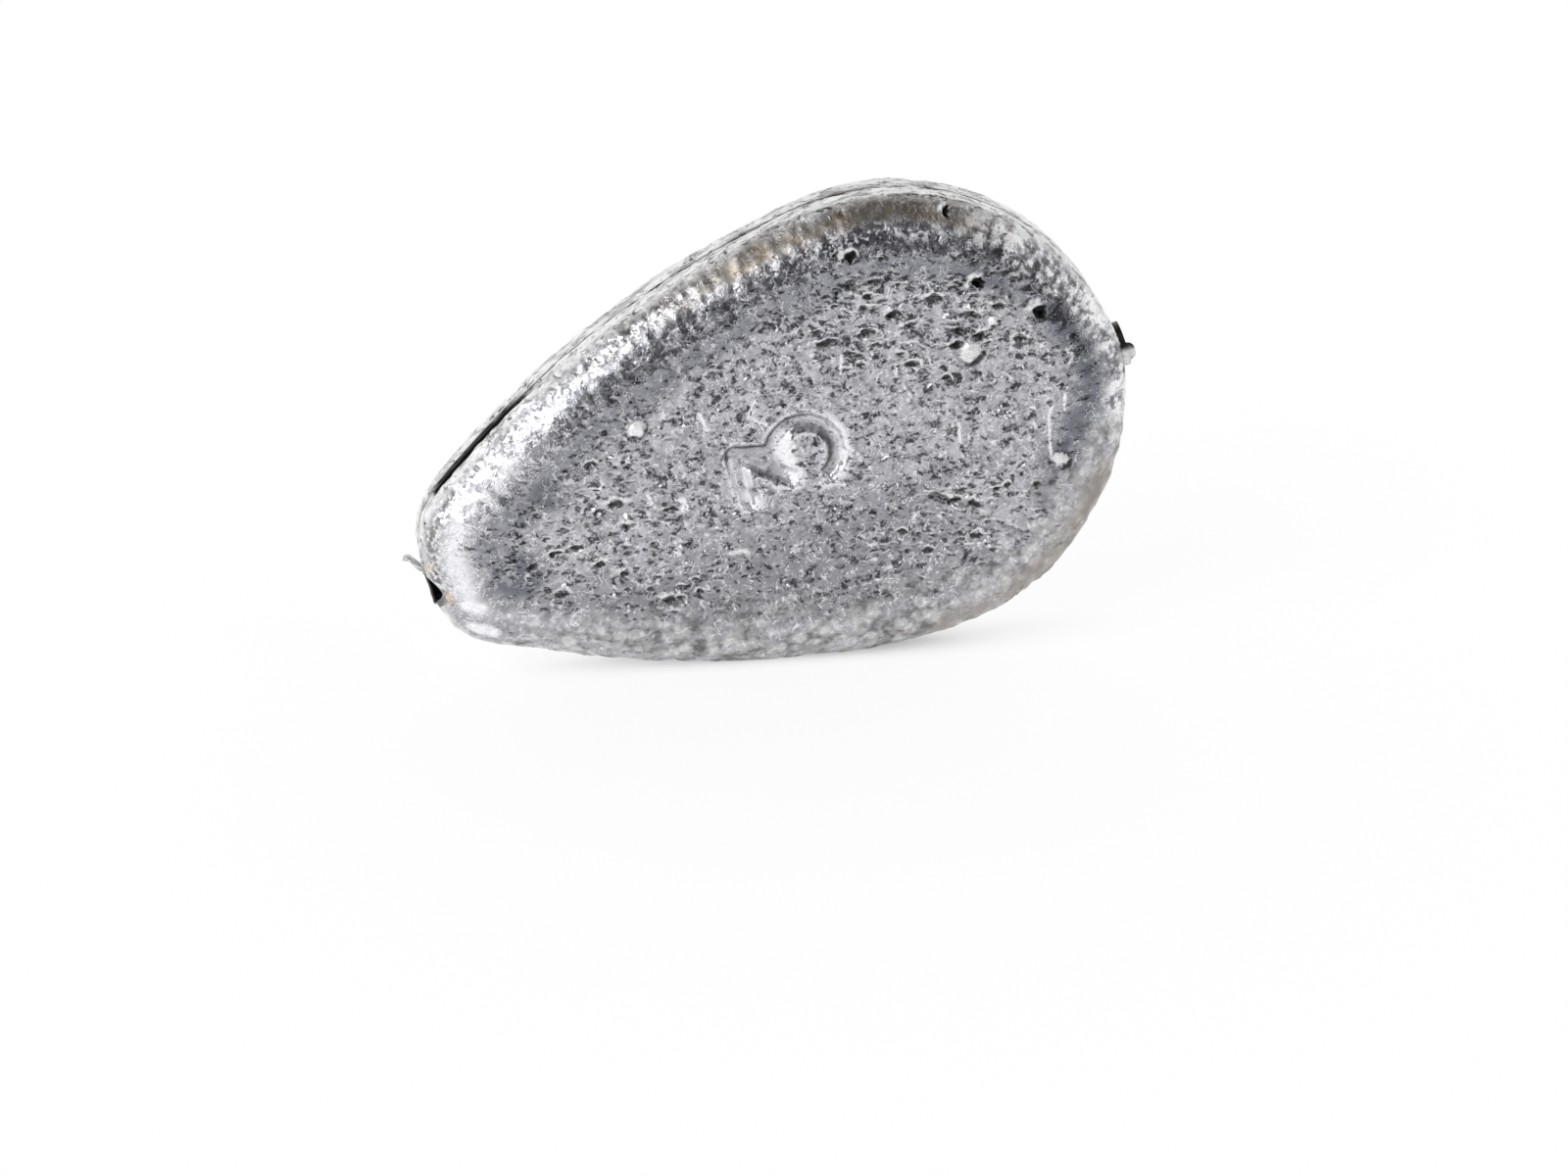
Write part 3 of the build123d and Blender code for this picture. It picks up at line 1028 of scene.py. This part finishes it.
    # Oxide below: whitish lumps with dark gaps between them
    bloom = place.moved(13, 2, 5).noise(0.6, 4, 0.6).step(0.36, 0.62)
    low = v.step(-3, -7) * inset.step(6.5, 2.5)
    oxide = (bloom * (0.08 + low * 0.8)).least(1)
    lumps = bent.moved(3, 7, 1).cells(0.95).step(0.62, 0.3)
    patches = place.moved(8, 3, 3).noise(0.9, 4, 0.65).step(0.39, 0.61)
    pale = (patches * 0.55 + lumps * 0.5).least(1).tinted(oxide_dark, oxide_light)

    # The nose's lower rim is stained brown, and rust ran out of the tube's tail mouth
    stained = u.step(3, 9) * v.step(-6, -9) * inset.hump(1, 1.9)
    stained = stained * place.moved(3, 3, 9).noise(0.5, 3).step(0.3, 0.55)
    rust = near(-23.5, 1, 0.5).most(near(-23.3, -1.2, 0.8)) * place.noise(1.8, 2).step(0.42, 0.58)

    # Painted highlights and bright scratches on the front
    bright = (highlights_and_scratches * (0.8 + place.noise(2, 2).step(0.3, 0.5) * 0.4)).least(1)

    # Layers over the bare metal, from below: how much of each shows, and its colour
    metal = mottle.tinted(lead_dark, lead_light)
    for share, colour in (
        (specks.step(0.54, 0.66) * 0.5, speck_light),
        (specks.step(0.44, 0.3) * 0.4, speck_dark),
        # Painted shade: the lower face is darker
        (face * v.step(-1, -6) * u.step(15, 6) * 0.65, low_face_shade_grey),
        # Painted highlight on the pits' upper lips
        (upper_lip * 0.8, lip_highlight_white),
        (shoulder * streaks.step(0.53, 0.42) * 0.45, streak_dark),
        (shoulder * streaks.step(0.53, 0.62) * 0.5, streak_light),
        # Painted dark reflection band
        (painted_dark_band * 0.95, dark_band_blue),
        (wisps * (1 - painted_dark_band * 0.7) * 0.75, highlight_and_scratch_white),
        (flecked * flecks.step(0.5, 0.42) * 0.9, fleck_shade_dark),
        (white, fleck_highlight_white),
        (scuffed * 0.85, scuffs.tinted(scuff_dark, scuff_light)),
        # Tarnish, partly a painted dark reflection
        (tarnish * (0.95 - streaks.step(0.5, 0.6) * 0.45), browned),
        # Painted glints
        (painted_glints * 0.9, glint_white),
        (land * 0.9, chalk.tinted(chalk_dark, chalk_light)),
        (shaded_creases * 0.85, crease_shade_black),
        (painted_tail_highlight * 0.9, highlight_and_scratch_white),
        (oxide, pale),
        (stained * 0.85, stain_brown),
        # Painted shade: the land is darker underneath, towards the table
        (land * v.step(-8, -12) * 0.55, underside_shade_grey),
        # Painted shade in the pits' lower walls
        (dark_wall * 0.9, pit_shade_black),
        # Painted highlights and shade of the lumps and holes
        (lone_highlight * 0.9, lump_highlight_white),
        (lone_shade, hole_shade_black),
        # Painted shade, black, in the parting line and the slit
        (slit.step(0, 0.7), slit_shade_black),
        (mark * 0.35, number_grey),
        # Painted shade along the number's walls
        (edge * 0.9, wall_shade_black),
        # Painted highlights and bright scratches
        (bright, highlight_and_scratch_white),
        (rust * 0.7, rust_ochre),
    ):
        metal = share.tinted(metal, colour)

    roughness = 0.27 + (specks - 0.5) * 0.2 + oxide * 0.25 + rust * 0.3 - painted_dark_band * 0.06
    roughness = roughness + tarnish * 0.1 + land * 0.12 - bright.most(painted_tail_highlight) * 0.12
    # White places are less metallic, so that they don't mirror the dark cards
    dusty_land = land * (1 - slit) * (1 - shaded_creases) * 0.3
    dull = (oxide * 0.8).most(bright * 0.3).most(dusty_land).most(painted_tail_highlight * 0.35)
    dull = dull.most(white * 0.7).most(mark * 0.4).most(lone_highlight * 0.75).most(painted_glints * 0.7)
    height = (broken + grain * 0.08 + fine * 0.03) * (0.2 + face * 0.8)
    height = height * (1 - painted_dark_band * 0.85) * (1 - tarnish * 0.6) - pitted * (1 - lone_highlight) * 0.3
    height = height * (1 - edge.most(highlights_and_scratches).most(mark * 0.7).most(painted_tail_highlight) * 0.7) + wisps * 0.02
    height = height + streaks * shoulder * (1 - tarnish * 0.9) * 0.09
    bump = s.node("ShaderNodeBump", inputs={"Strength": 1, "Distance": MM, "Height": height})
    surface = metal_surface(metal, 1.0 - dull - rust * 0.8, roughness.most(0.18).least(0.85), bump)
    return finished(material, surface)


def tube_finish():
    """Thin steel: dull grey with brown tarnish, a little orange rust at the tail, and painted shade, black,
    inside and on top of the nose end.
    """
    material, s = new_finish("tarnished_steel")
    place = casting_place(s)
    u, _, v = place.parts()
    inside = stored(s, "inside")
    stain = place.noise(1.4, 4, 0.6)
    rust = place.moved(4, 2, 7).noise(1.8, 4, 0.65).step(0.56, 0.66) * u.step(-22, -23.6)
    # Painted shade on top of the nose end
    nose_shade = u.step(22, 23) * v.step(-1, -0.5)
    steel = stain.step(0.35, 0.65).tinted(steel_dark, steel_light)
    for share, colour in ((rust * 0.7, steel_rust), (nose_shade * 0.9, nose_shade_black), (inside, tube_shade_black)):
        steel = share.tinted(steel, colour)
    grain = place.noise(5, 3, 0.6)
    bump = s.node("ShaderNodeBump", inputs={"Strength": 0.7, "Distance": 0.04 * MM, "Height": grain})
    roughness = 0.28 + stain * 0.2 + rust * 0.3 + inside * 0.3
    return finished(material, metal_surface(steel, 1.0 - rust * 0.8, roughness, bump))


def seen_directly(s):
    """1 for the camera and for reflections, 0 for the light that falls on things."""
    path = s.node("ShaderNodeLightPath", out="Is Camera Ray")
    return path.most(path.output("Is Glossy Ray")).most(path.output("Is Transmission Ray"))


def table_finish():
    """White table that keeps the soft shadow near the sinker and is plain white further out."""
    material, s = new_finish("white_table")
    across, along, _ = s.node("ShaderNodeTexCoord", out="Object").parts()
    far = across.hypot(along).step(shadow_reach, white_reach)
    under = (along / MM).hump(0.0, 3.4) * (across / MM).hump(2.0, 26.0)
    lit = s.node("ShaderNodeBsdfDiffuse", inputs={"Color": table_white})
    white = s.node("ShaderNodeEmission", inputs={"Color": plain_white, "Strength": seen_strength})
    share = seen_directly(s) * (0.88 + far * 0.12 - under * 0.7)
    return finished(material, s.node("ShaderNodeMixShader", inputs={0: share, 1: lit, 2: white}))


def card_finish(name, colour):
    material, s = new_finish(name)
    return finished(material, s.node("ShaderNodeBsdfDiffuse", inputs={"Color": colour}))


# Table, light and camera


def stage_piece(name, corners, finish, faces=None):
    """A piece of the studio, of one face unless the faces are given."""
    made = new_object(name, new_mesh(name, corners, faces or [tuple(range(len(corners)))]))
    made.data.materials.append(finish)
    return made


def bearing(azimuth, elevation):
    """Direction from the sinker at an azimuth from the front and an elevation, in degrees."""
    a, e = radians(azimuth), radians(elevation)
    return Vector((sin(a) * cos(e), -cos(a) * cos(e), sin(e)))


def studio():
    floor_z = cad_box[0].z
    rim = [(table_radius * cos(t), table_radius * sin(t), floor_z) for t in around(96)]
    stage_piece("white_table", rim, table_finish())

    def arc(turns, reach, height):
        return [(reach * sin(t), -reach * cos(t), floor_z + height) for t in np.radians(turns)]

    # Dark cards that the metal mirrors: behind the camera, overhead, and on the table before the sinker
    dark = card_finish("dark_card", dark_card_grey)
    brown = card_finish("brown_card", brown_card_grey)
    turns = np.linspace(*card_turns, 12)
    count = len(turns)
    corners = arc(turns, card_reach, 0.0) + arc(turns[::-1], card_reach, card_height)
    panels = [(i, i + 1, 2 * count - 2 - i, 2 * count - 1 - i) for i in range(count - 1)]
    front = stage_piece("front_card", corners, dark, panels)
    above = stage_piece("overhead_card", overhead_corners, brown)
    turns = np.linspace(*sheet_turns, 16)
    sheet = arc(turns, sheet_near, sheet_lift) + arc(turns[::-1], card_reach, sheet_lift)
    for card in (front, above, stage_piece("dark_table", sheet, dark)):
        card.visible_camera = False

    world = bpy.data.worlds.new("studio")
    bpy.context.scene.world = world
    world.use_nodes = True
    world.node_tree.nodes.clear()
    s = Signal(world.node_tree)
    strength = air_strength - seen_directly(s) * (air_strength - seen_strength)
    air = s.node("ShaderNodeBackground", inputs={"Color": plain_white, "Strength": strength})
    s.node("ShaderNodeOutputWorld", inputs={"Surface": air})

    lamp = bpy.data.lights.new("left_softbox", "SUN")
    lamp.energy = lamp_energy
    lamp.angle = radians(lamp_angle)
    lamp.color = lamp_colour
    softbox = new_object("left_softbox", lamp)
    softbox.rotation_mode = "QUATERNION"
    softbox.rotation_quaternion = bearing(lamp_azimuth, lamp_elevation).to_track_quat("Z", "Y")


def photo_camera():
    """The photograph's view: from a little left and above, with the sinker off its middle."""
    focal_pixels = photo_scale * camera_distance
    back = bearing(camera_azimuth, camera_elevation)
    right = bearing(camera_azimuth + 90, 0)
    up = back.cross(right)
    camera = bpy.data.cameras.new("photo_camera")
    camera.sensor_width = camera_sensor
    camera.lens = focal_pixels / photo_width * camera_sensor
    camera.clip_start = camera_near
    view = new_object("photo_camera", camera)
    view.location = casting_middle + back * (camera_distance * MM)
    aside = (photo_width / 2 - photo_middle_x) / focal_pixels
    below = (photo_height / 2 - photo_middle_y) / focal_pixels
    view.rotation_mode = "QUATERNION"
    view.rotation_quaternion = (right * aside - up * below - back).to_track_quat("-Z", "Y")
    bpy.context.scene.camera = view


casting = lead_casting(lead_finish())
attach(casting, "root")
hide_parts("lead_body")

tube = line_tube(tube_finish())
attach(tube, "root")
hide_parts("line_tube")

studio()
photo_camera()
bpy.context.scene.view_settings.view_transform = "Standard"
